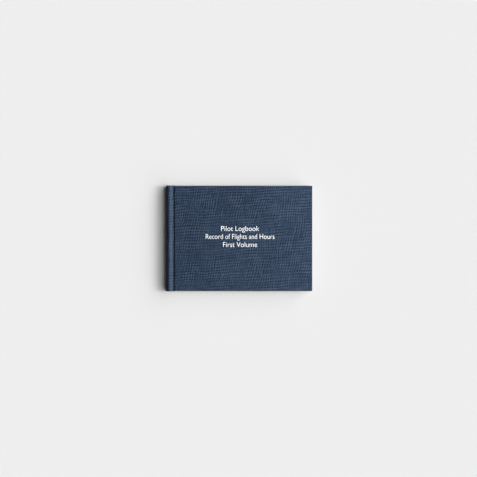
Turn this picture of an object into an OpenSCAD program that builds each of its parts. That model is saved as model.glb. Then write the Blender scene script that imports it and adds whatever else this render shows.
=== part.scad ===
// Landscape case-bound logbook, closed and lying on its back cover.
// Millimetres, +Z up. The origin is under the centre of the case, on the table.
// +X runs from the spine to the fore-edge, +Y from the tail to the head.

/* [Case] */
// Width of the closed case from spine to fore-edge
case_w = 216; // [200:1:240]
// Height of the boards from tail to head
case_h = 155; // [140:1:175]
// Thickness of a board
board_t = 2.5; // [2:0.1:3]
// Thickness of the book cloth
cloth_t = 0.35; // [0.25:0.05:0.45]
// Width of cloth turned in over the free edges of a board
turn_in = 15; // [12:1:20]
// How far the boards stand past the leaves at head and tail
square_y = 3.5; // [2.5:0.5:5]

/* [Spine] */
// Distance from the outside of the rounded spine to its crest
spine_depth = 5.7; // [5.2:0.1:6.5]
// How far the spine cloth stands past the boards at head and tail
spine_proud = 0.4; // [0.2:0.1:0.8]
// Thickness of the card inlay in the spine
inlay_t = 0.8; // [0.5:0.1:1]

/* [Text block] */
// Pitch of the ten sections, each of eight leaves
section_p = 0.9; // [0.7:0.02:1.1]
// Thickness of an endpaper sheet
paper_t = 0.12; // [0.1:0.01:0.14]
// Width of a sewing tape
tape_w = 10; // [8:1:14]
// Distance of the outer sewing tapes from the middle one
tape_gap = 42; // [34:1:46]

/* [Hidden] */
sections = 10;
zb = sections * section_p / 2;                  // half the thickness of the leaves
zf0 = zb + 0.02;                                // flyleaf, its face towards the leaves
zp0 = zb + 0.06 + paper_t;                      // pastedown, over the turn-ins
zt0 = zp0 + paper_t;                            // turned-in cloth
zd0 = zt0 + cloth_t;                            // board, inner face
zd1 = zd0 + board_t;                            // board, outer face
zc = zd1 + cloth_t;                             // cloth, outer face
h = zc;                                         // half the thickness of the case
stamp_t = 0.03;                                 // height of the stamped foil

joint_w = 2 * (board_t + cloth_t) + 0.5;        // width of the strip between the two lines it bends on
xa = spine_depth + 1.7;                         // inner bending line, at the block's shoulder
xb = xa + joint_w;                              // outer bending line, at the board's edge
za = zb + 0.5;
xe = case_w;

block_hy = case_h / 2 - square_y;
leaf_w = case_w - 9;

sb = h - 0.05;                                  // spine, half height of its outline
shell = 2 * cloth_t + inlay_t;                  // cloth, card and turned-in cloth
bx = xa + 0.375;                                // centre of the block's rounded back
br = bx - shell - 0.375 - 1.1;                  // its depth
bq = zb + 1.5;                                  // its half height
back_a = 72;                                    // half angle of the rounded back

navy = [0.15, 0.2, 0.29];
grey_board = [0.56, 0.52, 0.45];
white_paper = [0.93, 0.91, 0.85];
leaf_paper = [0.95, 0.94, 0.9];
card = [0.62, 0.58, 0.5];
gauze = [0.86, 0.84, 0.78];
linen = [0.8, 0.77, 0.68];
kraft = [0.66, 0.52, 0.36];
band = [0.82, 0.8, 0.76];
foil = [0.95, 0.95, 0.94];

// ---- helpers; x is counted from the outside of the spine, z from the case's middle plane

module place() translate([-case_w / 2, 0, h]) children();
module flip() mirror([0, 0, 1]) children();
module prism(len, pts) translate([0, len / 2, 0]) rotate([90, 0, 0]) linear_extrude(height = len) polygon(pts);
module slab(x0, x1, hy, z0, z1) translate([x0, -hy, z0]) cube([x1 - x0, 2 * hy, z1 - z0]);

// a point on the spine's outline, d inside it, at angle a from the outermost point
function on_spine(a, d = 0) = [spine_depth - (spine_depth - d) * cos(a), (sb - d) * sin(a)];
// a point d outside the block's rounded back
function on_back(a, d = 0) = [bx - (br + d) * cos(a), (bq + d) * sin(a)];
// the band between two depths, as a polygon
function back_band(a, d0, d1, n) = concat(
    [for (i = [0 : n]) on_back(-a + 2 * a * i / n, d1)],
    [for (i = [n : -1 : 0]) on_back(-a + 2 * a * i / n, d0)]);
function spine_band(a, d0, d1) = concat(
    [for (i = [-a[0] : 5 : a[0]]) on_spine(i, d0)], [if (a[1] > a[0]) on_spine(a[1], d0)],
    [if (a[1] > a[0]) on_spine(a[1], d1)], [for (i = [a[0] : -5 : -a[0]]) on_spine(i, d1)],
    [if (a[1] > a[0]) on_spine(-a[1], d1)], [if (a[1] > a[0]) on_spine(-a[1], d0)]);

function bend2(p, c, q, t) = (1 - t) * (1 - t) * p + 2 * t * (1 - t) * c + t * t * q;
function bend3(p, c, d, q, t) = pow(1 - t, 3) * p + 3 * t * pow(1 - t, 2) * c + 3 * t * t * (1 - t) * d + pow(t, 3) * q;
function bend3d(p, c, d, q, t) = 3 * pow(1 - t, 2) * (c - p) + 6 * t * (1 - t) * (d - c) + 3 * t * t * (q - d);

// ---- sections: j is the boundary above the section, 0 at the front
function edge_z(j) = zb - section_p * j;
function edge_a(j) = back_a * (1 - 2 * j / sections);
// one face of a section's fold, from the straight leaves to the rounded back, s insets it
function fold_face(j, s) = let(
        p = [xa - 0.01, edge_z(j) + s],
        q = on_back(edge_a(j) + s * 12),
        c = [(p[0] * 0.55 + q[0] * 0.45) + 0.2, p[1] + (q[1] - p[1]) * 0.12])
    [for (i = [0 : 6]) bend2(p, c, q, i / 6)];
function fold_outline(k) = let(
        top = fold_face(k - 1, -0.01),
        low = fold_face(k, 0.01),
        am = (edge_a(k - 1) + edge_a(k)) / 2,
        da = (edge_a(k - 1) - edge_a(k)) / 2 - 0.12,
        crown = [for (u = [0.6, 0.2, -0.2, -0.6]) on_back(am + da * u, 0.02)])
    concat(top, crown, [for (i = [6 : -1 : 0]) low[i]]);
function fold_path(k) = norm([xa, (edge_z(k - 1) + edge_z(k)) / 2] - on_back((edge_a(k - 1) + edge_a(k)) / 2));
function fore_x(k) = xa + leaf_w - fold_path(k);

module fold(k) color(leaf_paper) place() prism(2 * block_hy, fold_outline(k));
module leaves(k) color(leaf_paper) place() slab(xa, fore_x(k), block_hy, edge_z(k) + 0.01, edge_z(k - 1) - 0.01);
module section(k) color(leaf_paper) place() prism(2 * block_hy, let(o = fold_outline(k), n = len(o)) concat(
    [[fore_x(k), edge_z(k - 1) - 0.01]], [for (i = [0 : n - 1]) o[i]], [[fore_x(k), edge_z(k) + 0.01]]));

module section_01_fold() fold(1);
module section_02_fold() fold(2);
module section_03_fold() fold(3);
module section_04_fold() fold(4);
module section_01_leaves() leaves(1);
module section_02_leaves() leaves(2);
module section_03_leaves() leaves(3);
module section_04_leaves() leaves(4);
module section_05() section(5);
module section_06() section(6);
module section_07_fold() fold(7);
module section_07_leaves() leaves(7);
module section_08_fold() fold(8);
module section_08_leaves() leaves(8);
module section_09_fold() fold(9);
module section_09_leaves() leaves(9);
module section_10_fold() fold(10);
module section_10_leaves() leaves(10);

// ---- sewing
module tape(y) color(linen) place() translate([0, y, 0]) prism(tape_w, back_band(66, 0.05, 0.25, 24));
module sewing_tape_head() tape(tape_gap);
module sewing_tape_middle() tape(0);
module sewing_tape_tail() tape(-tape_gap);

kettle_y = block_hy - 12;
module stitch(k, y, len) {
    a = (edge_a(k - 1) + edge_a(k)) / 2;
    p = on_back(a, 0.46);
    translate([p[0], y + len / 2, p[1]]) rotate([90, 0, 0]) cylinder(r = 0.2, h = len, $fn = 24);
}
// a link stitch from one section down to the next
module kettle(k, y) {
    a = (edge_a(k - 1) + edge_a(k)) / 2;
    b = (edge_a(k) + edge_a(k + 1)) / 2;
    p = on_back(a, 0.28);
    q = on_back(b, 0.28);
    d = q - p;
    translate([p[0], y, p[1]]) rotate([0, atan2(d[0], d[1]), 0]) cylinder(r = 0.2, h = norm(d) - 0.06, $fn = 24);
}
module sewing_thread() color([0.9, 0.88, 0.8]) place() {
    for (k = [1 : sections], y = [-tape_gap, 0, tape_gap]) stitch(k, y, tape_w + 1.6);
    for (k = [1 : sections - 1], s = [-1, 1]) kettle(k, s * kettle_y);
}

// ---- back linings and bands
module mull() color(gauze) place() prism(2 * block_hy - 20, back_band(66, 0.7, 0.88, 28));
module spine_lining() color(kraft) place() prism(2 * block_hy - 6, back_band(60, 0.9, 1.1, 28));
module endband(s) color(band) place() translate([0, s * (block_hy + 0.72), 0]) prism(1.4, concat(
    [for (i = [0 : 24]) on_back(-64 + 128 * i / 24, 0.9)],
    [for (i = [24 : -1 : 0]) on_back(-64 + 128 * i / 24, -0.5)]));
module headband() endband(1);
module tailband() endband(-1);

// ---- spine of the case
module spine_inlay() color(card) place() prism(case_h, spine_band([75, 75], cloth_t, cloth_t + inlay_t));
spine_a = 90 + asin(0.95 / spine_depth);        // the cloth runs just past the crest
module spine_cloth() color(navy) place() {
    prism(case_h, spine_band([95, spine_a], 0, cloth_t));
    for (s = [-1, 1]) {
        translate([0, s * (case_h + spine_proud) / 2, 0]) prism(spine_proud, spine_band([75, 75], 0, shell));
        translate([0, s * (case_h / 2 - 6), 0]) prism(12, spine_band([75, 75], cloth_t + inlay_t, shell));
    }
}

// ---- the joint between spine and board
groove_z = zc - 1.3;                           // bottom of the groove, outer face of the cloth
jp = on_spine(spine_a + 0.6, 0);
jq = [xb - 1.1, groove_z];
jc = jp + 1.65 * [cos(spine_a - 90), -sin(spine_a - 90) * sb / spine_depth];
jd = jq + [-2.8, 0.06];
function joint_n(t) = let(d = bend3d(jp, jc, jd, jq, t)) [d[1], -d[0]] / norm(d);
module joint_cloth() prism(case_h, concat(
    [for (i = [0 : 14]) bend3(jp, jc, jd, jq, i / 14)],
    [[xb - 0.38 - 0.3, groove_z], [xb - 0.38, groove_z + 0.3], [xb - 0.38, zc - 0.15], [xb - 0.03, zc - 0.03]],
    [[xb - 0.03, groove_z - cloth_t + 0.25], [xb - 0.28, groove_z - cloth_t]],
    [for (i = [14 : -1 : 0]) bend3(jp, jc, jd, jq, i / 14) + cloth_t * joint_n(i / 14)]));
module joint_mull() slab(xa + 0.1, xb - 0.2, block_hy - 10, zt0, za - 0.02);
// the endpaper's two layers and the fold that joins them
module endpaper_fold() difference() {
    slab(xa + 0.1, xb - 0.1, block_hy, zf0, zt0 - 0.02);
    slab(xa + 0.25, xb, block_hy + 1, zf0 + paper_t, zp0 - 0.02);
}
module front_joint_cloth() color(navy) place() joint_cloth();
module front_joint_mull() color(gauze) place() joint_mull();
module front_endpaper_fold() color(white_paper) place() endpaper_fold();
module back_joint_cloth() color(navy) place() flip() joint_cloth();
module back_joint_mull() color(gauze) place() flip() joint_mull();
module back_endpaper_fold() color(white_paper) place() flip() endpaper_fold();

// ---- covers
ch = case_h / 2;
module board() slab(xb, xe - cloth_t, ch - cloth_t, zd0, zd1);
// cloth over the outer face, round three edges and turned in, with mitred corners
module cover_cloth() difference() {
    slab(xb, xe, ch, zt0, zc);
    slab(xb - 1, xe - cloth_t, ch - cloth_t, zd0, zd1);
    slab(xb - 1, xe - turn_in, ch - turn_in, zt0 - 1, zd0 + 0.01);
    for (s = [-1, 1]) translate([xe - turn_in - 0.5, s * (ch - turn_in - 0.5), zt0 - 1])
        rotate([0, 0, s * 45]) translate([0, -0.06, 0]) cube([(turn_in - 0.4) * sqrt(2), 0.12, 1 + cloth_t + 0.01]);
    for (s = [-1, 1]) translate([xe, s * ch, 0]) rotate([0, 0, 45]) translate([-0.35, -0.35, -h]) cube([0.7, 0.7, 2 * h]);
}
// paper over the turn-ins, stepped down to the bare board between them
px = xe - 3;
py = ch - 3;
module pastedown() {
    difference() {
        slab(xb, px, py, zp0, zt0);
        slab(xb - 1, xe - turn_in - paper_t, ch - turn_in - paper_t, zp0 - 1, zt0 + 1);
    }
    difference() {
        slab(xb, xe - turn_in, ch - turn_in, zp0, zd0);
        slab(xb - 1, xe - turn_in - paper_t, ch - turn_in - paper_t, zp0 - 1, zd0 - paper_t);
    }
}
module flyleaf() slab(xb, fore_x(1), block_hy, zf0, zf0 + paper_t);

module front_board() color(grey_board) place() board();
module front_cover_cloth() color(navy) place() cover_cloth();
module front_pastedown() color(white_paper) place() pastedown();
module front_flyleaf() color(white_paper) place() flyleaf();
module back_board() color(grey_board) place() flip() board();
module back_cover_cloth() color(navy) place() flip() cover_cloth();
module back_pastedown() color(white_paper) place() flip() pastedown();
module back_flyleaf() color(white_paper) place() flip() flyleaf();

// three centred stamped lines, shown as plain bars: [width, height, y of the centre]
stamp_x = case_w / 2 + 1.8;
stamp_y = 2.4;
module title_stamp() color(foil) place()
    for (b = [[53.6, 7.8, 11.8], [98, 7.8, 0], [56.2, 7.8, -11.8]])
        translate([stamp_x - b[0] / 2, stamp_y + b[2] - b[1] / 2, zc]) cube([b[0], b[1], stamp_t]);

section_01_fold();
section_02_fold();
section_03_fold();
section_04_fold();
section_01_leaves();
section_02_leaves();
section_03_leaves();
section_04_leaves();
section_05();
section_06();
section_07_fold();
section_07_leaves();
section_08_fold();
section_08_leaves();
section_09_fold();
section_09_leaves();
section_10_fold();
section_10_leaves();
sewing_tape_head();
sewing_tape_middle();
sewing_tape_tail();
sewing_thread();
mull();
spine_lining();
headband();
tailband();
spine_inlay();
spine_cloth();
front_joint_cloth();
front_joint_mull();
front_endpaper_fold();
front_board();
front_cover_cloth();
front_pastedown();
front_flyleaf();
title_stamp();
back_joint_cloth();
back_joint_mull();
back_endpaper_fold();
back_board();
back_cover_cloth();
back_pastedown();
back_flyleaf();
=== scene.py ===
import math
import random

import bpy
import numpy as np
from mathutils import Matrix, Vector


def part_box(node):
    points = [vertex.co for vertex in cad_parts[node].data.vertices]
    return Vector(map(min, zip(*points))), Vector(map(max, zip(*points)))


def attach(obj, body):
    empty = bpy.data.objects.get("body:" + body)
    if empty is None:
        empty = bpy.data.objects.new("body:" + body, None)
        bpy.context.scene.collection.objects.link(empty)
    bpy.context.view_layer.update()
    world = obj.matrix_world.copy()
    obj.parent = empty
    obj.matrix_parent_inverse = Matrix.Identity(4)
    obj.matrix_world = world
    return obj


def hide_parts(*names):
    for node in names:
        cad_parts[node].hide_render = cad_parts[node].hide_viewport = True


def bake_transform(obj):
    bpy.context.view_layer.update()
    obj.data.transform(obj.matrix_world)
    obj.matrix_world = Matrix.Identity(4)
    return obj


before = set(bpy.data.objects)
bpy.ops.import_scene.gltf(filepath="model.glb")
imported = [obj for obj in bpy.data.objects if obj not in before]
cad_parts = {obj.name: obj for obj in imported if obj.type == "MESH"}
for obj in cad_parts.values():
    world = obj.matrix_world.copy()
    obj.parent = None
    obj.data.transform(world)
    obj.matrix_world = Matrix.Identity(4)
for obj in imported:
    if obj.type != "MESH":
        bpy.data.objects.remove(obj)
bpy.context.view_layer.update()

rng = random.Random(7)
MM = 0.001

# ---------------------------------------------------------------- sizes, in mm, x counted from the outside of the spine
_lo, _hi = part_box("front_cover_cloth")
_blo, _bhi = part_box("front_board")
_slo, _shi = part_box("spine_cloth")
_llo, _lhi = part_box("section_01_leaves")
X0 = _slo.x / MM                      # row x of the outside of the spine
T = _hi.z / MM                        # thickness of the case
H = T / 2
CH = _hi.y / MM                       # half height of the boards
XE = _hi.x / MM - X0                  # fore-edge
XB = _blo.x / MM - X0                 # board edge at the joint
ZT = _lo.z / MM                       # turned-in cloth, inner face
ZD0, ZD1 = _blo.z / MM, _bhi.z / MM   # board
XA = _llo.x / MM - X0                 # inner bending line
BY = _lhi.y / MM                      # half height of the leaves
TURN = 15.0
CT = 0.35                             # cloth
SP = 5.7                              # spine crest
SB = H - 0.05
ZB = 4.5                              # half thickness of the leaves
PITCH = 0.9
BX, BR, BQ, BA = XA + 0.375, 4.8, ZB + 1.5, 72.0


def row(p):
    """from (x from the spine, y, z from the middle plane) in mm to the row frame in metres"""
    p = np.asarray(p, float)
    out = p.copy()
    out[..., 0] = p[..., 0] + X0
    out[..., 2] = p[..., 2] + H
    return out * MM


def on_spine(a, d=0.0):
    a = math.radians(a)
    return np.array([SP - (SP - d) * math.cos(a), (SB - d) * math.sin(a)])


def on_back(a, d=0.0):
    a = math.radians(a)
    return np.array([BX - (BR + d) * math.cos(a), (BQ + d) * math.sin(a)])


# ---------------------------------------------------------------- materials
def tree(name):
    m = bpy.data.materials.new(name)
    m.use_nodes = True
    nt = m.node_tree
    for n in list(nt.nodes):
        nt.nodes.remove(n)
    out = nt.nodes.new("ShaderNodeOutputMaterial")
    bsdf = nt.nodes.new("ShaderNodeBsdfPrincipled")
    nt.links.new(bsdf.outputs[0], out.inputs[0])
    return m, nt, bsdf


class G:
    """a small builder for node graphs"""

    def __init__(self, nt):
        self.nt = nt

    def _in(self, sock, v):
        if isinstance(v, bpy.types.NodeSocket):
            self.nt.links.new(v, sock)
        elif v is not None:
            sock.default_value = v

    def math(self, op, a, b=None, c=None, clamp=False):
        n = self.nt.nodes.new("ShaderNodeMath")
        n.operation = op
        n.use_clamp = clamp
        self._in(n.inputs[0], a)
        self._in(n.inputs[1], b)
        self._in(n.inputs[2], c)
        return n.outputs[0]

    def uv(self, mm=True):
        n = self.nt.nodes.new("ShaderNodeUVMap")
        n.uv_map = "cloth"
        s = self.nt.nodes.new("ShaderNodeSeparateXYZ")
        self.nt.links.new(n.outputs[0], s.inputs[0])
        return self.math("MULTIPLY", s.outputs[0], 1000.0), self.math("MULTIPLY", s.outputs[1], 1000.0)

    def obj(self):
        n = self.nt.nodes.new("ShaderNodeTexCoord")
        s = self.nt.nodes.new("ShaderNodeSeparateXYZ")
        self.nt.links.new(n.outputs["Object"], s.inputs[0])
        return [self.math("MULTIPLY", s.outputs[i], 1000.0) for i in range(3)]

    def vec(self, x, y, z=0.0):
        n = self.nt.nodes.new("ShaderNodeCombineXYZ")
        self._in(n.inputs[0], x)
        self._in(n.inputs[1], y)
        self._in(n.inputs[2], z)
        return n.outputs[0]

    def noise(self, vector, scale=1.0, detail=2.0, rough=0.5, lac=2.0):
        n = self.nt.nodes.new("ShaderNodeTexNoise")
        n.inputs["Scale"].default_value = scale
        n.inputs["Detail"].default_value = detail
        n.inputs["Roughness"].default_value = rough
        n.inputs["Lacunarity"].default_value = lac
        self.nt.links.new(vector, n.inputs["Vector"])
        return n.outputs[0]

    def ramp(self, fac, stops):
        n = self.nt.nodes.new("ShaderNodeValToRGB")
        e = n.color_ramp.elements
        while len(e) < len(stops):
            e.new(0.5)
        for el, (p, c) in zip(e, stops):
            el.position = p
            el.color = (*c, 1.0)
        self._in(n.inputs[0], fac)
        return n.outputs[0]

    def mix(self, fac, a, b):
        n = self.nt.nodes.new("ShaderNodeMix")
        n.data_type = "RGBA"
        self._in(n.inputs[0], fac)
        for s, v in ((n.inputs[6], a), (n.inputs[7], b)):
            if isinstance(v, bpy.types.NodeSocket):
                self.nt.links.new(v, s)
            else:
                s.default_value = (*v, 1.0)
        return n.outputs[2]

    def bump(self, height, strength, distance, normal=None):
        n = self.nt.nodes.new("ShaderNodeBump")
        n.inputs["Strength"].default_value = strength
        n.inputs["Distance"].default_value = distance
        self.nt.links.new(height, n.inputs["Height"])
        if normal is not None:
            self.nt.links.new(normal, n.inputs["Normal"])
        return n.outputs[0]

    def maprange(self, v, a, b, c, d):
        n = self.nt.nodes.new("ShaderNodeMapRange")
        self._in(n.inputs[0], v)
        for i, x in zip((1, 2, 3, 4), (a, b, c, d)):
            n.inputs[i].default_value = x
        return n.outputs[0]


def weave_height(g, u, v, pitch):
    """over-and-under of a plain weave, 0 to 1"""
    su = g.math("SINE", g.math("MULTIPLY", u, math.pi / pitch))
    sv = g.math("SINE", g.math("MULTIPLY", v, math.pi / pitch))
    over = g.math("MULTIPLY", su, sv)                       # -1 to 1, which thread lies on top
    a = g.math("MULTIPLY", g.math("ABSOLUTE", su), g.math("MULTIPLY_ADD", over, 0.5, 0.5))
    b = g.math("MULTIPLY", g.math("ABSOLUTE", sv), g.math("MULTIPLY_ADD", over, -0.5, 0.5))
    return g.math("MAXIMUM", a, b), over


def book_cloth():
    m, nt, b = tree("book_cloth_linen")
    g = G(nt)
    u, v = g.uv()
    pitch = 0.55
    # every thread wanders a little off its line
    wob = g.noise(g.vec(g.math("MULTIPLY", u, 0.05), g.math("MULTIPLY", v, 0.05)), 1.0, 2.0)
    wu = g.math("MULTIPLY_ADD", g.math("SUBTRACT", wob, 0.5), 1.2, u)
    wv = g.math("MULTIPLY_ADD", g.math("SUBTRACT", wob, 0.5), -1.2, v)
    weave, over = weave_height(g, wu, wv, pitch)
    # the middle of the thread that a point lies on
    tu = g.math("MULTIPLY", g.math("ADD", g.math("FLOOR", g.math("DIVIDE", wu, pitch)), 0.5), pitch)
    tv = g.math("MULTIPLY", g.math("ADD", g.math("FLOOR", g.math("DIVIDE", wv, pitch)), 0.5), pitch)
    # each thread has its own tone, which changes slowly along it, and broader slubs
    weft = g.noise(g.vec(g.math("MULTIPLY", u, 0.045), g.math("MULTIPLY", tv, 1.5), 3.1), 1.0, 2.0, 0.55)
    warp = g.noise(g.vec(g.math("MULTIPLY", tu, 1.5), g.math("MULTIPLY", v, 0.045), 7.7), 1.0, 2.0, 0.55)
    slub_h = g.noise(g.vec(g.math("MULTIPLY", u, 0.05), g.math("MULTIPLY", tv, 0.36), 11.3), 1.0, 3.0, 0.6)
    slub_v = g.noise(g.vec(g.math("MULTIPLY", tu, 0.36), g.math("MULTIPLY", v, 0.05), 17.9), 1.0, 3.0, 0.6)
    cloud = g.noise(g.vec(g.math("MULTIPLY", u, 0.02), g.math("MULTIPLY", v, 0.02), 4.4), 1.0, 3.0)
    # heavier threads come at nearly even steps, drift across the cloth, and stand out more in some patches
    drift_u = g.noise(g.vec(g.math("MULTIPLY", u, 0.022), g.math("MULTIPLY", v, 0.022), 31.0), 1.0, 1.0)
    drift_v = g.noise(g.vec(g.math("MULTIPLY", u, 0.022), g.math("MULTIPLY", v, 0.022), 47.0), 1.0, 1.0)
    ph_u = g.math("ADD", g.math("MULTIPLY_ADD", slub_v, 4.0, g.math("MULTIPLY", drift_u, 16.0)),
                  g.math("MULTIPLY", g.math("MULTIPLY_ADD", v, -0.19, tu), 2 * math.pi / 3.55))
    ph_v = g.math("ADD", g.math("MULTIPLY_ADD", slub_h, 4.0, g.math("MULTIPLY", drift_v, 10.0)),
                  g.math("MULTIPLY", g.math("MULTIPLY_ADD", u, -0.06, tv), 2 * math.pi / 4.15))
    amp_u = g.maprange(g.noise(g.vec(g.math("MULTIPLY", u, 0.05), g.math("MULTIPLY", v, 0.03), 53.0), 1.0, 1.0), 0.36, 0.62, 0.028, 0.130)
    amp_v = g.maprange(g.noise(g.vec(g.math("MULTIPLY", u, 0.03), g.math("MULTIPLY", v, 0.05), 61.0), 1.0, 1.0), 0.36, 0.62, 0.028, 0.118)
    nub = g.noise(g.vec(g.math("MULTIPLY", tu, 0.62), g.math("MULTIPLY", tv, 0.62), 23.0), 1.0, 1.0, 0.5)
    warp_t = g.math("ADD", g.math("MULTIPLY_ADD", warp, 0.34, g.math("MULTIPLY", slub_v, 0.17)), g.math("MULTIPLY", g.math("SINE", ph_u), amp_u))
    weft_t = g.math("ADD", g.math("MULTIPLY_ADD", weft, 0.34, g.math("MULTIPLY", slub_h, 0.17)), g.math("MULTIPLY", g.math("SINE", ph_v), amp_v))
    top = g.math("MULTIPLY_ADD", over, 3.0, 0.5, clamp=True)
    tone = g.math("ADD", weft_t, g.math("MULTIPLY", g.math("SUBTRACT", warp_t, weft_t), top))
    mixv = g.math("ADD", tone, g.math("MULTIPLY_ADD", cloud, 0.08, 0.196))
    # painted shade: darker in the hollows between the woven threads, lighter on their crowns
    mixv = g.math("ADD", mixv, g.math("MULTIPLY", g.math("SUBTRACT", weave, 0.52), 0.16))
    mixv = g.math("ADD", mixv, g.math("MULTIPLY", g.math("SUBTRACT", nub, 0.5), 0.22))
    # painted highlight: the cloth is made lighter along the two ridges beside the joints, where the light catches the
    # rounded shoulders
    ridge = g.math("ABSOLUTE", g.math("SUBTRACT", g.math("ABSOLUTE", g.math("ADD", u, 6.65)), 14.6))
    mixv = g.math("ADD", mixv, g.maprange(ridge, 1.1, 4.4, 0.088, 0.0))
    col = g.ramp(mixv, [(0.34, (0.0018, 0.0044, 0.0117)), (0.46, (0.0073, 0.0140, 0.0278)), (0.53, (0.0147, 0.0261, 0.0491)), (0.66, (0.042, 0.064, 0.100))])
    nt.links.new(col, b.inputs["Base Color"])
    rough = g.maprange(mixv, 0.35, 0.65, 0.58, 0.42)
    nt.links.new(rough, b.inputs["Roughness"])
    b.inputs["Specular IOR Level"].default_value = 0.05
    h = g.math("ADD", g.math("MULTIPLY", weave, 0.9), g.math("MULTIPLY", tone, 1.4))
    nt.links.new(g.bump(h, 0.6, 0.00018), b.inputs["Normal"])
    return m


def paper(name, tint, ruled=False):
    m, nt, b = tree(name)
    g = G(nt)
    u, v = g.uv()
    fib = g.noise(g.vec(g.math("MULTIPLY", u, 2.2), g.math("MULTIPLY", v, 0.9)), 1.0, 4.0, 0.6)
    cloud = g.noise(g.vec(g.math("MULTIPLY", u, 0.05), g.math("MULTIPLY", v, 0.05), 5.0), 1.0, 3.0)
    f = g.math("ADD", g.math("MULTIPLY", fib, 0.6), g.math("MULTIPLY", cloud, 0.4))
    dark = tuple(c * 0.9 for c in tint)
    col = g.ramp(f, [(0.35, dark), (0.62, tint)])
    if ruled:
        # faint ruled lines and columns inside the margins
        line = g.math("LESS_THAN", g.math("ABSOLUTE", g.math("SUBTRACT", g.math("FRACT", g.math("DIVIDE", v, 6.5)), 0.5)), 0.016)
        colm = g.math("LESS_THAN", g.math("ABSOLUTE", g.math("SUBTRACT", g.math("FRACT", g.math("DIVIDE", u, 22.0)), 0.5)), 0.006)
        ins = g.math("MULTIPLY", g.math("LESS_THAN", g.math("ABSOLUTE", v), 62.0),
                     g.math("MULTIPLY", g.math("GREATER_THAN", u, 20.0), g.math("LESS_THAN", u, 202.0)))
        ink = g.math("MULTIPLY", ins, g.math("MAXIMUM", line, colm))
        col = g.mix(g.math("MULTIPLY", ink, 0.75), col, (0.33, 0.42, 0.5))
    nt.links.new(col, b.inputs["Base Color"])
    nt.links.new(g.maprange(f, 0.3, 0.7, 0.9, 0.75), b.inputs["Roughness"])
    b.inputs["Specular IOR Level"].default_value = 0.25
    nt.links.new(g.bump(f, 0.25, 0.00003), b.inputs["Normal"])
    return m


def fibrous(name, lo, hi, sx=1.2, sy=1.2, sz=1.2, rough=0.85, bump=0.0001, weave=0.0):
    """board, card, thread, tape and gauze: fibres at two scales, in object coordinates, for pieces that only ride"""
    m, nt, b = tree(name)
    g = G(nt)
    x, y, z = g.obj()
    f1 = g.noise(g.vec(g.math("MULTIPLY", x, sx), g.math("MULTIPLY", y, sy), g.math("MULTIPLY", z, sz)), 1.0, 4.0, 0.6)
    f2 = g.noise(g.vec(g.math("MULTIPLY", x, 0.12), g.math("MULTIPLY", y, 0.12), g.math("MULTIPLY", z, 0.12)), 1.0, 3.0)
    f = g.math("ADD", g.math("MULTIPLY", f1, 0.65), g.math("MULTIPLY", f2, 0.35))
    if weave:
        # painted shade: with a weave, the colour is darker in the hollows between the threads; the fibre noise is the
        # material's own tone
        w = weave_height(g, y, g.math("ADD", x, z), weave)[0]
        f = g.math("ADD", g.math("MULTIPLY", f, 0.6), g.math("MULTIPLY", w, 0.3))
    nt.links.new(g.ramp(f, [(0.34, lo), (0.64, hi)]), b.inputs["Base Color"])
    nt.links.new(g.maprange(f, 0.3, 0.7, min(1.0, rough + 0.08), rough - 0.1), b.inputs["Roughness"])
    b.inputs["Specular IOR Level"].default_value = 0.25
    nt.links.new(g.bump(f, 0.5, bump), b.inputs["Normal"])
    return m


def endband_mat():
    m, nt, b = tree("endband_silk")
    g = G(nt)
    u, v = g.uv()
    s = g.math("FRACT", g.math("DIVIDE", u, 2.0))
    st = g.math("LESS_THAN", s, 0.5)
    cord = g.math("ABSOLUTE", g.math("SINE", g.math("MULTIPLY", u, math.pi / 0.4)))
    n = g.noise(g.vec(g.math("MULTIPLY", u, 3.0), g.math("MULTIPLY", v, 0.6)), 1.0, 3.0)
    base = g.mix(st, (0.045, 0.06, 0.11), (0.72, 0.71, 0.66))
    # painted shade: darker copies of the two stripe colours, blended in between the windings where the cord dips, with
    # some random tone from the noise
    dark = g.mix(st, (0.02, 0.03, 0.06), (0.45, 0.43, 0.38))
    fac = g.math("MULTIPLY_ADD", cord, 0.6, g.math("MULTIPLY", n, 0.4), clamp=True)
    nt.links.new(g.mix(fac, dark, base), b.inputs["Base Color"])
    nt.links.new(g.maprange(n, 0.3, 0.7, 0.55, 0.42), b.inputs["Roughness"])
    b.inputs["Sheen Weight"].default_value = 0.3
    nt.links.new(g.bump(cord, 0.6, 0.00012), b.inputs["Normal"])
    return m


def foil():
    m, nt, b = tree("stamp_white_foil")
    g = G(nt)
    u, v = g.uv()
    weave = weave_height(g, u, v, 0.55)[0]
    n = g.noise(g.vec(g.math("MULTIPLY", u, 1.4), g.math("MULTIPLY", v, 1.4)), 1.0, 4.0, 0.65)
    # painted shade: the weave term makes the foil darker in the cloth's hollows; the noise is the foil's own uneven
    # tone
    f = g.math("ADD", g.math("MULTIPLY", n, 0.75), g.math("MULTIPLY", weave, 0.25))
    nt.links.new(g.ramp(f, [(0.30, (0.38, 0.41, 0.45)), (0.46, (0.62, 0.63, 0.65)), (0.7, (0.72, 0.725, 0.73))]), b.inputs["Base Color"])
    nt.links.new(g.maprange(f, 0.3, 0.7, 0.6, 0.42), b.inputs["Roughness"])
    nt.links.new(g.bump(f, 0.4, 0.00008), b.inputs["Normal"])
    return m


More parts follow.
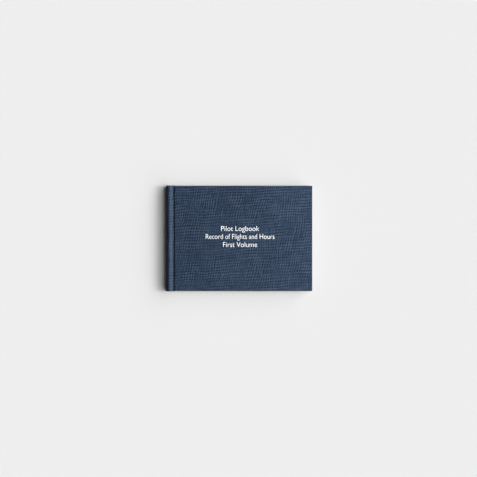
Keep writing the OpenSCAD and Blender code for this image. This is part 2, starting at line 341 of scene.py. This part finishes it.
MAT = {
    "cloth": book_cloth(),
    "endpaper": paper("endpaper_laid", (0.76, 0.73, 0.655)),
    "leaf": paper("leaf_ruled", (0.77, 0.75, 0.695), ruled=True),
    "board": fibrous("grey_board", (0.24, 0.21, 0.17), (0.40, 0.37, 0.31)),
    "card": fibrous("spine_card", (0.32, 0.28, 0.22), (0.47, 0.43, 0.36)),
    "tape": fibrous("linen_tape", (0.5, 0.46, 0.37), (0.74, 0.7, 0.6), weave=0.35, bump=0.00015),
    "thread": fibrous("linen_thread", (0.58, 0.54, 0.45), (0.84, 0.81, 0.72), 6.0, 1.5, 6.0),
    "mull": fibrous("mull_gauze", (0.5, 0.47, 0.38), (0.8, 0.77, 0.68), weave=0.8, bump=0.00015),
    "kraft": fibrous("kraft_lining", (0.34, 0.24, 0.14), (0.5, 0.38, 0.24), 1.5, 0.5, 1.5),
    "band": endband_mat(),
    "foil": foil(),
}
NODE_MAT = {"front_board": "board", "back_board": "board", "spine_inlay": "card", "spine_lining": "kraft", "mull": "mull", "front_joint_mull": "mull",
            "back_joint_mull": "mull", "sewing_thread": "thread", "sewing_tape_head": "tape", "sewing_tape_middle": "tape", "sewing_tape_tail": "tape"}
for name, key in NODE_MAT.items():
    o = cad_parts[name]
    if not o.material_slots:
        o.data.materials.append(MAT[key])
    for s in o.material_slots:
        s.material = MAT[key]


# ---------------------------------------------------------------- mesh helpers
def make(name, verts, faces, uvs, mat, smooth=True):
    me = bpy.data.meshes.new(name)
    me.from_pydata([tuple(p) for p in verts], [], [tuple(f) for f in faces])
    layer = me.uv_layers.new(name="cloth")
    idx = np.zeros(len(me.loops), np.int32)
    me.loops.foreach_get("vertex_index", idx)
    layer.data.foreach_set("uv", np.asarray(uvs, float)[idx].ravel())
    me.polygons.foreach_set("use_smooth", [smooth] * len(me.polygons))
    me.materials.append(MAT[mat])
    me.update()
    if smooth:
        me.set_sharp_from_angle(angle=math.radians(48))
    o = bpy.data.objects.new(name, me)
    bpy.context.scene.collection.objects.link(o)
    return o


def grid_normals(P):
    du = np.gradient(P, axis=0)
    dv = np.gradient(P, axis=1)
    n = np.cross(du, dv)
    return n / np.maximum(np.linalg.norm(n, axis=2, keepdims=True), 1e-12)


def shell(P, UV, th, flip=False):
    """closed thin solid from a grid of points (mm) and its flat coordinates (mm): th is how thick, away from the shown side"""
    N = grid_normals(P)
    if flip:
        N = -N
    Q = P - N * th
    a, b = P.shape[:2]
    V = np.concatenate([P.reshape(-1, 3), Q.reshape(-1, 3)])
    U = np.concatenate([UV.reshape(-1, 2), UV.reshape(-1, 2)])
    n = a * b
    F = []
    for i in range(a - 1):
        for j in range(b - 1):
            q = (i * b + j, (i + 1) * b + j, (i + 1) * b + j + 1, i * b + j + 1)
            F.append(q if not flip else q[::-1])
            r = tuple(x + n for x in q)
            F.append(r[::-1] if not flip else r)
    loop = [(i, 0) for i in range(a)] + [(a - 1, j) for j in range(1, b)] + [(i, b - 1) for i in range(a - 2, -1, -1)] + [(0, j) for j in range(b - 2, 0, -1)]
    ids = [i * b + j for i, j in loop]
    for p, q in zip(ids, ids[1:] + ids[:1]):
        f = (q, p, p + n, q + n)
        F.append(f if not flip else f[::-1])
    return V, F, U


def shell_obj(name, P, UV, th, mat, flip=False, smooth=True):
    V, F, U = shell(P, UV, th, flip)
    return make(name, row(V), F, U * MM, mat, smooth)


def join(parts):
    V, F, U, n = [], [], [], 0
    for v, f, u in parts:
        V.append(v)
        U.append(u)
        F += [tuple(x + n for x in q) for q in f]
        n += len(v)
    return np.concatenate(V), F, np.concatenate(U)


# ---------------------------------------------------------------- the cloth's line in section, from the front board over the spine to the back board
EDGE = 0.9                                    # radius of the cloth over the board's edge at the joint
XJ = XB - 0.36                                # outside of the cloth on the board's edge
ZC = H                                        # outer face of the cloth
ZG = ZC - 1.30                                # bottom of the groove above the middle plane


def bez(p, c, d, q, n):
    t = np.linspace(0, 1, n)[:, None]
    return (1 - t) ** 3 * p + 3 * t * (1 - t) ** 2 * c + 3 * t * t * (1 - t) * d + t ** 3 * q


def half_line():
    """front half, from the board's top edge to the spine's outermost point"""
    a0 = 99.6
    jp = on_spine(a0)
    jc = jp + 1.65 * np.array([math.cos(math.radians(a0 - 90)), -math.sin(math.radians(a0 - 90)) * SB / SP])
    jq = np.array([XB - 1.1, ZG])
    jd = jq + np.array([-2.8, 0.06])
    top = [np.array([XJ + EDGE - EDGE * math.cos(f), ZC - EDGE + EDGE * math.sin(f)]) for f in np.linspace(math.pi / 2, 0, 8)]
    side = [np.array([XJ, z]) for z in np.linspace(ZC - EDGE, ZG + 0.45, 4)[1:]]
    low = [np.array([XJ - 0.45 + 0.45 * math.cos(f), ZG + 0.45 - 0.45 * math.sin(f)]) for f in np.linspace(0, math.pi / 2, 6)[1:]]
    s = bez(jq, jd, jc, jp, 26)
    spine = [on_spine(a) for a in np.arange(96, 0, -3.0)]
    return np.array(top + side + low + list(s) + spine)


half = half_line()
back_half = half[::-1] * np.array([1, -1])
LINE = np.concatenate([half, [on_spine(0.0)], back_half])
seg = np.linalg.norm(np.diff(LINE, axis=0), axis=1)
S = half[0, 0] - np.concatenate([[0], np.cumsum(seg)])      # flat coordinate along the cloth
NRM = np.gradient(LINE, axis=0)
NRM = np.stack([-NRM[:, 1], NRM[:, 0]], 1)
NRM /= np.linalg.norm(NRM, axis=1)[:, None]                  # inward: the line runs right to left over the top
if NRM[0, 1] > 0:
    NRM = -NRM


def smooth(x):
    x = min(1.0, max(0.0, x))
    return x * x * (3 - 2 * x)


def fold_depth(p):
    """how thick the case is where the cloth turns in at head and tail: cloth, card and cloth on the spine, two cloths elsewhere"""
    return 0.72 + 0.78 * (1 - smooth((p[0] - 4.2) / 1.6))


def proud(p):
    return 0.4 * (1 - smooth((p[0] - 11.6) / 1.6)) + 0.02


def wander(s, y):
    """slight unevenness of hand-pressed cloth over the ridge, in mm"""
    return 0.10 * math.sin(y * 0.061 + 1.3) + 0.06 * math.sin(y * 0.173 + s * 0.05) + 0.05 * math.sin(y * 0.031 + 4.0)


def cloth_band(i0, i1):
    """grid of points and flat coordinates for the line's points i0 to i1, with the cloth turned in at head and tail"""
    ys = np.linspace(-CH, CH, 41)
    P, UV = [], []
    for i in range(i0, i1 + 1):
        p, n, s = LINE[i], NRM[i], S[i]
        th, pr = fold_depth(p), proud(p)
        colp, colu = [], []
        g = smooth((p[0] - 5.0) / 2.5) * (1 - smooth((p[0] - 11.2) / 1.2))       # only between crest and groove
        tin = [(-CH + 12.0, th), (-CH + 5, th), (-CH + 1.0, th)]
        for y, o in tin:
            colp.append((p[0] + n[0] * o, y, p[1] + n[1] * o))
            colu.append((s, -CH - 0.9 - (y + CH)))
        for f in np.linspace(math.pi, 0, 9):
            o = th / 2 * (1 - math.cos(f))
            y = -CH - pr * math.sin(f)
            colp.append((p[0] + n[0] * o, y, p[1] + n[1] * o))
            colu.append((s, -CH - 0.9 * f / math.pi))
        for y in ys[1:-1]:
            w = (wander(s, y) - (0.22 if p[1] < 0 else 0.09)) * g
            w *= 1 - abs(y / CH) ** 6
            colp.append((p[0] - n[0] * w, y, p[1] - n[1] * w))
            colu.append((s, y))
        for f in np.linspace(0, math.pi, 9):
            o = th / 2 * (1 - math.cos(f))
            y = CH + pr * math.sin(f)
            colp.append((p[0] + n[0] * o, y, p[1] + n[1] * o))
            colu.append((s, CH + 0.9 * f / math.pi))
        for y, o in tin[::-1]:
            colp.append((p[0] + n[0] * o, -y, p[1] + n[1] * o))
            colu.append((s, CH + 0.9 + (y + CH)))
        P.append(colp)
        UV.append(colu)
    return np.array(P, float), np.array(UV, float)


def upto(x, side):
    """index of the line's point nearest to x, on the front (1) or back (-1) half, above or below the middle"""
    best = None
    for i, p in enumerate(LINE):
        if p[1] * side > 3.0 and p[0] < XB and (best is None or abs(p[0] - x) < abs(LINE[best][0] - x)):
            best = i
    return best


f1, f2 = upto(6.6, 1), upto(10.4, 1)
b1, b2 = upto(6.6, -1), upto(10.4, -1)
last = len(LINE) - 1


def P3(x, z):
    return tuple(row([x, 0.0, z]))


def flipside(P, i):
    """does the grid's normal face inwards at the line's point i"""
    k = P.shape[1] // 2
    N = grid_normals(P)[P.shape[0] // 2, k]
    return float(N[0] * NRM[i][0] + N[2] * NRM[i][1]) > 0


def cut_size(UV):
    """width and length of the flat cut, in metres"""
    return float(np.ptp(UV[..., 0])) * MM, float(np.ptp(UV[..., 1])) * MM


def cloth_piece(name, i0, i1, nodes):
    P, UV = cloth_band(i0, i1)
    o = shell_obj(name, P, UV, 0.26, "cloth", flip=flipside(P, i0 + P.shape[0] // 2))
    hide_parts(*nodes)
    return o, cut_size(UV)


spine, spine_cut = cloth_piece("spine_cloth_linen", f1, b1, ["spine_cloth"])
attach(spine, "text_block")
front_in, front_in_cut = cloth_piece("front_joint_cloth_inner", f2, f1, ["front_joint_cloth"])
P3(6.7, 5)
P3(9.8, 5)
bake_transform(front_in)
front_out, front_out_cut = cloth_piece("front_joint_cloth_outer", 0, f2, ["front_joint_cloth"])
P3(11.3, 5)
P3(13.3, 5)
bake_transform(front_out)
back_in, back_in_cut = cloth_piece("back_joint_cloth_inner", b1, b2, ["back_joint_cloth"])
P3(6.7, -5)
P3(9.8, -5)
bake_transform(back_in)
back_out, back_out_cut = cloth_piece("back_joint_cloth_outer", b2, last, ["back_joint_cloth"])
P3(11.3, -5)
P3(13.3, -5)
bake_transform(back_out)


# ---------------------------------------------------------------- cloth over a board, turned in on three sides, with mitred corners
def cover_cloth(name, side, s_at, s_dir):
    """side 1 is the front. s_at and s_dir continue the cloth's flat coordinate from the joint"""
    rb, rt, rc = 0.55, 0.8, 1.1
    prof = [(TURN, ZT - H), (TURN * 0.55, ZT - H), (3.0, ZT - H), (1.2, ZT - H)]
    prof += [(rb * (1 - math.sin(f)), ZT - H + rb * (1 - math.cos(f))) for f in np.linspace(0, math.pi / 2, 6)]
    prof += [(0.0, z) for z in np.linspace(ZT - H + rb, ZC - rt, 4)[1:-1]]
    prof += [(rt * (1 - math.cos(f)), ZC - rt * (1 - math.sin(f))) for f in np.linspace(0, math.pi / 2, 8)]
    prof += [(2.0, ZC), (5.0, ZC), (TURN, ZC)]
    L = [-TURN]
    for a, b in zip(prof[::-1], prof[::-1][1:]):
        L.append(L[-1] + math.hypot(a[0] - b[0], a[1] - b[1]))
    L = L[::-1]
    xs_top, xs_side = XJ + EDGE - 0.02, XJ + 0.03
    P, UV = [], []
    for (o, z), l in zip(prof, L):
        up = smooth((z - (ZC - rt)) / rt)
        x0 = xs_side + (xs_top - xs_side) * up ** 2
        rr = max(rc - o, 0.12)
        cx, cy = XE - o - rr, CH - o - rr
        pts = []
        for t in np.linspace(0, 1, 15)[:-1]:
            pts.append((x0 + (cx - x0) * t, -(CH - o), 0.0, -1.0))
        for a in np.linspace(-90, 0, 7):
            ca, sa = math.cos(math.radians(a)), math.sin(math.radians(a))
            pts.append((cx + rr * ca, -cy + rr * sa, ca, sa))
        for t in np.linspace(0, 1, 11)[1:-1]:
            pts.append((XE - o, -cy + 2 * cy * t, 1.0, 0.0))
        for a in np.linspace(0, 90, 7):
            ca, sa = math.cos(math.radians(a)), math.sin(math.radians(a))
            pts.append((cx + rr * ca, cy + rr * sa, ca, sa))
        for t in np.linspace(1, 0, 15)[1:]:
            pts.append((x0 + (cx - x0) * t, CH - o, 0.0, 1.0))
        rowp, rowu = [], []
        for k, (x, y, nx, ny) in enumerate(pts):
            zz = z
            if z < ZT - H + 0.01 and k in (17, 32) and o > 1.0:
                zz = z + 0.22                                                    # the mitre's crease
            rowp.append((x, y, zz))
            e = l + o
            rowu.append((x + nx * e, y + ny * e))
        P.append(rowp)
        UV.append(rowu)
    P, UV = np.array(P, float), np.array(UV, float)
    UV[..., 0] = s_at + s_dir * (UV[..., 0] - xs_top)
    if side < 0:
        P[..., 2] *= -1
    N = grid_normals(P)
    mid = (P.shape[0] - 1, P.shape[1] // 2)
    inward = N[mid][2] * side < 0
    if inward:
        N = -N
    Q = P - N * 0.26
    m, n = P.shape[:2]
    V = np.concatenate([P.reshape(-1, 3), Q.reshape(-1, 3)])
    U = np.concatenate([UV.reshape(-1, 2), UV.reshape(-1, 2)])
    tot = m * n
    F = []

    def put(q):
        F.append(q if not inward else q[::-1])

    for i in range(m - 1):
        for j in range(n - 1):
            q = (i * n + j, (i + 1) * n + j, (i + 1) * n + j + 1, i * n + j + 1)
            put(q)
            put(tuple(x + tot for x in q)[::-1])
    ring = [(m - 1) * n + j for j in range(n)]
    put(tuple(ring)[::-1])
    put(tuple(x + tot for x in ring))
    edge = [j for j in range(n)] + [i * n + n - 1 for i in range(1, m)] + [(m - 1) * n] + [i * n for i in range(m - 2, 0, -1)]
    for p, q in zip(edge, edge[1:] + edge[:1]):
        put((p, q, q + tot, p + tot))
    o = make(name, row(V), F, U * MM, "cloth", True)
    return o


front_cloth = cover_cloth("front_cover_linen", 1, S[0], 1)
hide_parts("front_cover_cloth")
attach(front_cloth, "front_cover")
back_cloth = cover_cloth("back_cover_linen", -1, S[-1], -1)
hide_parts("back_cover_cloth")
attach(back_cloth, "back_cover")


# ---------------------------------------------------------------- endpapers
def zpaste(x, y):
    """inner face of the pastedown, above the middle plane: it steps down to the bare board inside the turn-ins"""
    d = min(XE - TURN - x, CH - TURN - abs(y))
    return (ZT - H - 0.12) + 0.35 * smooth(d / 0.9)


def pastedown(name, side):
    xs = np.unique(np.concatenate([[XB - 0.1, XB + 2], np.linspace(XB + 6, XE - TURN - 2, 12), np.linspace(XE - TURN - 1.2, XE - TURN + 0.2, 8), [XE - 12, XE - 6, XE - 3]]))
    yy = np.concatenate([[CH - 3, CH - 8, CH - TURN + 0.2], np.linspace(CH - TURN, CH - TURN - 1.2, 7), np.linspace(CH - TURN - 3, 0, 7)[:-1]])
    ys = np.concatenate([-yy, [0], yy[::-1]])
    P = np.array([[(x, y, zpaste(x, y) * side) for y in ys] for x in xs], float)
    UV = P[..., :2].copy()
    flip = grid_normals(P)[3, 3][2] * side > 0
    return shell_obj(name, P, UV, 0.11, "endpaper", flip=flip)


def strip(name, x_list, z, side, th, mat="endpaper", y=None, yrows=5):
    y = BY if y is None else y
    ys = np.linspace(-y, y, yrows)
    zz = z if callable(z) else (lambda x: z)
    P = np.array([[(x, t, zz(x) * side) for t in ys] for x in x_list], float)
    return shell_obj(name, P, P[..., :2].copy(), th, mat, flip=grid_normals(P)[0, 0][2] > 0 if side > 0 else grid_normals(P)[0, 0][2] < 0)


PZ = ZT - H - 0.12          # pastedown's level at the joint, its inner face
FZ = ZB + 0.02              # flyleaf's face towards the leaves
FX = _lhi.x / MM - X0       # the leaves' fore-edge
for side, w in ((1, "front"), (-1, "back")):
    p = pastedown(w + "_pastedown_paper", side)
    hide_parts(w + "_pastedown")
    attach(p, w + "_cover")
    a = strip(w + "_hinge_paper_inner", np.linspace(XA + 0.06, 10.5, 12), PZ + 0.01, side, 0.1)
    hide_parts(w + "_endpaper_fold")
    P3(XA, 5 * side)
    P3(9.4, 5 * side)
    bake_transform(a)
    b = strip(w + "_hinge_paper_outer", np.linspace(10.5, XB + 0.4, 14), PZ + 0.01, side, 0.1)
    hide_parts(w + "_endpaper_fold")
    P3(12.3, 5 * side)
    P3(XB + 0.1, 5 * side)
    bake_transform(b)
    c = strip(w + "_flyleaf_gutter", np.linspace(XA + 0.04, 10.5, 12), FZ, side, 0.1)
    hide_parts(w + "_endpaper_fold")
    P3(XA, 5 * side)
    P3(9.4, 5 * side)
    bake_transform(c)
    d = strip(w + "_flyleaf_sheet", list(np.linspace(10.5, 17, 18)) + list(np.linspace(20, FX, 24)), FZ, side, 0.1, yrows=9)
    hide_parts(w + "_flyleaf")
    P3(12.4, 5 * side)
    P3(15.5, 5 * side)
    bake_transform(d)


# ---------------------------------------------------------------- sections of eight leaves
def leaf_line(k, m, fx):
    z = ZB - PITCH * (k - 1) - 0.01 - (m + 0.5) * 0.11
    a = BA * (1 - 2 * (k - 1 + (m + 0.5) / 8) / 10)
    p = np.array([XA - 0.01, z])
    q = on_back(a, -0.05)
    c = np.array([p[0] * 0.55 + q[0] * 0.45 + 0.2, p[1] + (q[1] - p[1]) * 0.12])
    t = np.linspace(1, 0, 9)[:, None]
    fold = (1 - t) ** 2 * p + 2 * t * (1 - t) * c + t * t * q
    flat = [(x, z) for x in [7.6, 7.9, 8.3, 8.8, 9.4, 10.2, 11.2, 13, 18, 40, 80, 120, 160, 190, fx]]
    return np.concatenate([fold, np.array(flat)])


for k in range(1, 11):
    nm = "section_%02d" % k
    box_name = nm + "_leaves" if k not in (5, 6) else nm
    base_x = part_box(box_name)[1].x / MM - X0
    parts = []
    for m in range(8):
        fx = base_x - rng.random() * 0.22
        hy = BY - rng.random() * 0.12
        ln = leaf_line(k, m, fx)
        ys = np.linspace(-hy, hy, 5)
        P = np.array([[(x, y, z + 0.045) for y in ys] for x, z in ln], float)
        UV = P[..., :2].copy()
        UV[..., 0] += 0.0
        parts.append(shell(P, UV, 0.088, flip=grid_normals(P)[-2, 2][2] < 0))
    V, F, U = join(parts)
    o = make(nm + "_paper", row(V), F, U * MM, "leaf", False)
    if k in (5, 6):
        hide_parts(nm)
        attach(o, "text_block")
    else:
        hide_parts(nm + "_fold", nm + "_leaves")
        side = 1 if k < 6 else -1
        P3(6.2, 0)
        P3(10.0, 0)
        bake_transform(o)


# ---------------------------------------------------------------- head and tail bands
for s, nm in ((1, "headband"), (-1, "tailband")):
    angs = np.linspace(-64, 64, 90)
    P, UV, run, prev = [], [], 0.0, None
    for a in angs:
        c = on_back(a, 0.2)
        n = on_back(a, 1.2) - c
        n /= np.linalg.norm(n)
        if prev is not None:
            run += np.linalg.norm(c - prev)
        prev = c
        ring, ru = [], []
        for f in np.linspace(0, 2 * math.pi, 17):
            r = 0.68 * math.cos(f)
            h = 0.70 * math.sin(f)
            ring.append((c[0] + n[0] * r, s * (BY + 0.72) + h, c[1] + n[1] * r))
            ru.append((run, f * 0.7))
        P.append(ring)
        UV.append(ru)
    P, UV = np.array(P, float), np.array(UV, float)
    na, nb = P.shape[:2]
    V = P[:, :-1].reshape(-1, 3)
    U = UV[:, :-1].reshape(-1, 2)
    nb -= 1
    F = [(i * nb + j, (i + 1) * nb + j, (i + 1) * nb + (j + 1) % nb, i * nb + (j + 1) % nb) for i in range(na - 1) for j in range(nb)]
    F += [tuple(range(nb)), tuple(reversed([(na - 1) * nb + j for j in range(nb)]))]
    o = make(nm + "_silk", row(V), F, U * MM, "band", True)
    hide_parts(nm)
    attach(o, "text_block")

# ---------------------------------------------------------------- stamped title: generic words, three centred lines
slo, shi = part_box("title_stamp")
cx, cy = (slo.x + shi.x) / 2, (slo.y + shi.y) / 2
stamped = []
for text, width, y in (("Pilot Logbook", 0.0560, 0.0118), ("Record of Flights and Hours", 0.1010, 0.0), ("First Volume", 0.0500, -0.0118)):
    cu = bpy.data.curves.new("title", "FONT")
    cu.body = text
    cu.size = 0.0108
    cu.align_x = "CENTER"
    cu.align_y = "CENTER"
    cu.extrude = 0.000012
    cu.resolution_u = 6
    cu.offset = -0.00013
    ob = bpy.data.objects.new("title", cu)
    bpy.context.scene.collection.objects.link(ob)
    bpy.context.view_layer.update()
    me = bpy.data.meshes.new_from_object(ob.evaluated_get(bpy.context.evaluated_depsgraph_get()))
    co = np.zeros(len(me.vertices) * 3)
    me.vertices.foreach_get("co", co)
    co = co.reshape(-1, 3)
    co[:, 0] -= (co[:, 0].min() + co[:, 0].max()) / 2
    co[:, 0] *= width / (co[:, 0].max() - co[:, 0].min())
    co[:, 0] += cx
    co[:, 1] += cy + y
    co[:, 2] += T * MM + 0.000013
    me.vertices.foreach_set("co", co.ravel())
    faces = [tuple(p.vertices) for p in me.polygons]
    stamped.append((co, faces, (co[:, :2] / MM - np.array([X0, 0]))))
    bpy.data.objects.remove(ob)
V, F, U = join(stamped)
title = make("title_lettering", V, F, U * MM, "foil", False)
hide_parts("title_stamp")
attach(title, "front_cover")

# ---------------------------------------------------------------- floor, light, camera
fm, fnt, fb = tree("floor_paper")
fb.inputs["Base Color"].default_value = (0.775, 0.775, 0.775, 1)
fb.inputs["Roughness"].default_value = 0.95
fb.inputs["Specular IOR Level"].default_value = 0.0
me = bpy.data.meshes.new("floor")
R = 6.0
me.from_pydata([(-R, -R, -0.0002), (R, -R, -0.0002), (R, R, -0.0002), (-R, R, -0.0002)], [], [(0, 1, 2, 3)])
me.materials.append(fm)
floor = bpy.data.objects.new("floor", me)
bpy.context.scene.collection.objects.link(floor)


def sun(name, az, el, strength, angle, color=(1, 1, 1)):
    li = bpy.data.lights.new(name, "SUN")
    li.energy = strength
    li.angle = math.radians(angle)
    li.color = color
    o = bpy.data.objects.new(name, li)
    a, e = math.radians(az), math.radians(el)
    d = Vector((math.cos(a) * math.cos(e), math.sin(a) * math.cos(e), math.sin(e)))
    o.rotation_mode = "QUATERNION"
    o.rotation_quaternion = d.to_track_quat("Z", "Y")
    bpy.context.scene.collection.objects.link(o)
    return o


# one wide, soft light from the fore-edge's side, as a row of suns
for az, el, power in ((0, 36, 1.62), (0, 44, 0.41), (0, 66, 0.88), (0, 82, 0.18), (36, 44, 0.49), (-36, 44, 0.37), (0, 19, 0.21),
                      (36, 19, 0.67), (-36, 19, 0.50), (54, 21, 0.21), (-54, 21, 0.13)):
    sun("soft_%d_%d" % (az % 360, el), az, el, power, 23)
box = bpy.data.lights.new("softbox", "AREA")      # a softbox by the fore-edge, which lights the cloth and its title only
box.shape = "RECTANGLE"
box.size, box.size_y = 0.30, 0.50
box.energy = 8.5
bo = bpy.data.objects.new("softbox", box)
bo.location = (0.50, 0.0, 0.42)
bo.rotation_mode = "QUATERNION"
bo.rotation_quaternion = Vector((0.50, 0.0, 0.42)).to_track_quat("Z", "Y")
bpy.context.scene.collection.objects.link(bo)
lit = bpy.data.collections.new("softbox_lights")
for o in (spine, front_in, front_out, back_in, back_out, front_cloth, back_cloth, title):
    lit.objects.link(o)
bo.light_linking.receiver_collection = lit
world = bpy.data.worlds.new("studio")
world.use_nodes = True
world.node_tree.nodes["Background"].inputs[0].default_value = (1.0, 0.975, 0.93, 1)
world.node_tree.nodes["Background"].inputs[1].default_value = 0.03
wt = world.node_tree                       # the studio's pale backdrop, seen but not lighting
bg2 = wt.nodes.new("ShaderNodeBackground")
bg2.inputs[0].default_value = (0.83, 0.83, 0.83, 1)
wmix = wt.nodes.new("ShaderNodeMixShader")
wt.links.new(wt.nodes.new("ShaderNodeLightPath").outputs["Is Camera Ray"], wmix.inputs[0])
wt.links.new(wt.nodes["Background"].outputs[0], wmix.inputs[1])
wt.links.new(bg2.outputs[0], wmix.inputs[2])
wt.links.new(wmix.outputs[0], wt.nodes["World Output"].inputs[0])
bpy.context.scene.world = world

cam = bpy.data.cameras.new("camera")
cam.lens = 85
cam.sensor_width = 36
cam.clip_start, cam.clip_end = 0.05, 20
co = bpy.data.objects.new("camera", cam)
bpy.context.scene.collection.objects.link(co)
dist = 0.351 / (18 / 85)
co.location = (-0.0006, -0.0001, T * MM + dist)
bpy.context.scene.camera = co
bpy.context.scene.view_settings.view_transform = "Standard"
bpy.context.scene.view_settings.look = "None"
